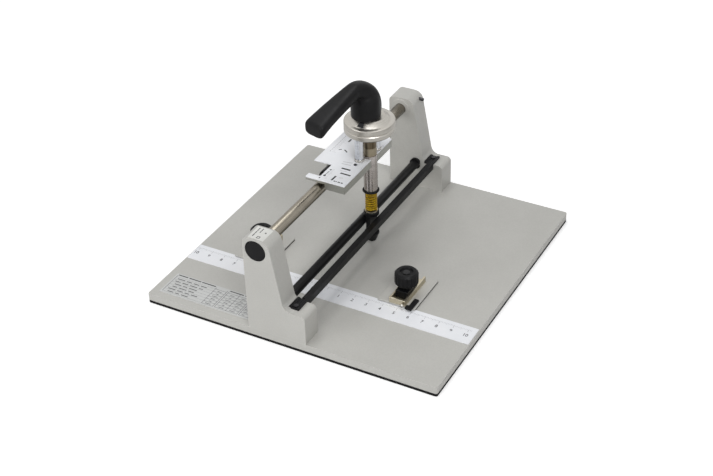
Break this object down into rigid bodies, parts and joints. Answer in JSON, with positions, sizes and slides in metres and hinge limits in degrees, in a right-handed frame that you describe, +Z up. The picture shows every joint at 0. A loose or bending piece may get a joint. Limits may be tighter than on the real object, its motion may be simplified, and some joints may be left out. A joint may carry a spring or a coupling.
{
  "type": "manual bench cutting tester for coated panels",
  "caption": "Flat base with two uprights, a guide rod and two rails; a carriage with a lever head carries a sprung cutter between them, and clamped side stops slide on the base.",
  "frame": {"origin": "centre of the base plate's outline, on the table, at the underside of the rubber mat", "axes": "+X along the ruler towards the side stop with the shorter distance, +Y along the guide rod away from the ruler's side, +Z up"},
  "size_m": [0.209, 0.209, 0.134],
  "materials": {
    "mat_rubber": "matte",
    "grey_paint": "satin",
    "white_foil": "matte",
    "grey_foil": "matte",
    "dark_steel": "satin",
    "polished_steel": "polished",
    "black_plastic": "matte",
    "black_paint": "satin",
    "grey_metal": "satin",
    "turned_steel": "satin",
    "bronze": "satin",
    "black_rubber": "matte",
    "yellow_paint": "satin"
  },
  "bodies": {
    "base": {"rubber_mat": "mat_rubber", "base_plate": "grey_paint", "ruler_strip": "white_foil", "table_label": "grey_foil", "near_upright": "grey_paint", "far_upright": "grey_paint", "upright_label": "white_foil", "upright_screws": "dark_steel", "guide_rod": "polished_steel", "rod_caps": "black_plastic", "rod_lock_pin": "dark_steel", "front_rail": "black_paint", "rail_screws": "dark_steel", "rear_rail": "black_paint", "rail_grommets": "black_plastic", "right_stop_spacer": "black_plastic", "right_stop_bolt": "dark_steel", "left_stop_spacer": "black_plastic", "left_stop_bolt": "dark_steel"},
    "carriage": {"carriage_block": "grey_metal", "scale_plate": "white_foil", "scale_screws": "dark_steel", "slide_bushes": "black_plastic", "guide_posts": "polished_steel", "post_rings": "polished_steel", "head_drum": "turned_steel", "lift_nut": "bronze"},
    "press_tube": {"plunger_tube": "turned_steel", "tube_ring": "black_rubber", "tube_collar": "bronze", "force_spring": "yellow_paint"},
    "lever": {"lift_screw": "dark_steel", "lever_handle": "black_plastic"},
    "tool": {"tool_holder": "black_paint", "spring_seat": "bronze", "cutter": "polished_steel", "cutter_set_screw": "dark_steel"},
    "right_stop": {"right_stop_pad": "black_rubber", "right_stop_plate": "grey_paint", "right_stop_channel": "turned_steel", "right_stop_pointer": "black_plastic"},
    "right_knob": {"right_stop_knob": "black_plastic"},
    "left_stop": {"left_stop_pad": "black_rubber", "left_stop_plate": "grey_paint", "left_stop_channel": "turned_steel", "left_stop_pointer": "black_plastic"},
    "left_knob": {"left_stop_knob": "black_plastic"}
  },
  "joints": [
    {"name": "carriage_slide", "type": "slide", "parent": "base", "child": "carriage", "axis": [0, 1, 0], "range_m": [-0.0602, 0.0496]},
    {"name": "tube_lift", "type": "slide", "parent": "carriage", "child": "press_tube", "axis": [0, 0, 1], "range_m": [0, 0.0035]},
    {"name": "lever_turn", "type": "hinge", "parent": "press_tube", "child": "lever", "pos_m": [-0.0008, 0.0123, 0.1068], "axis": [0, 0, 1], "range_deg": [0, 120]},
    {"name": "tool_float", "type": "slide", "parent": "press_tube", "child": "tool", "axis": [0, 0, 1], "range_m": [0, 0.003], "stiffness_N_per_m": 3000, "springref_m": -0.001, "deforming": ["force_spring"]},
    {"name": "right_stop_slide", "type": "slide", "parent": "base", "child": "right_stop", "axis": [0, 1, 0], "range_m": [0, 0.005]},
    {"name": "right_knob_turn", "type": "hinge", "parent": "base", "child": "right_knob", "pos_m": [0.0471, -0.0305, 0.0148], "axis": [0, 0, 1], "range_deg": [0, 360]},
    {"name": "left_stop_slide", "type": "slide", "parent": "base", "child": "left_stop", "axis": [0, 1, 0], "range_m": [0, 0.005]},
    {"name": "left_knob_turn", "type": "hinge", "parent": "base", "child": "left_knob", "pos_m": [-0.0614, -0.0305, 0.0152], "axis": [0, 0, 1], "range_deg": [0, 360]}
  ],
  "couplings": [
    {"joint": "lever_turn", "follows": "tube_lift", "rad_per_m": 598.39}
  ]
}
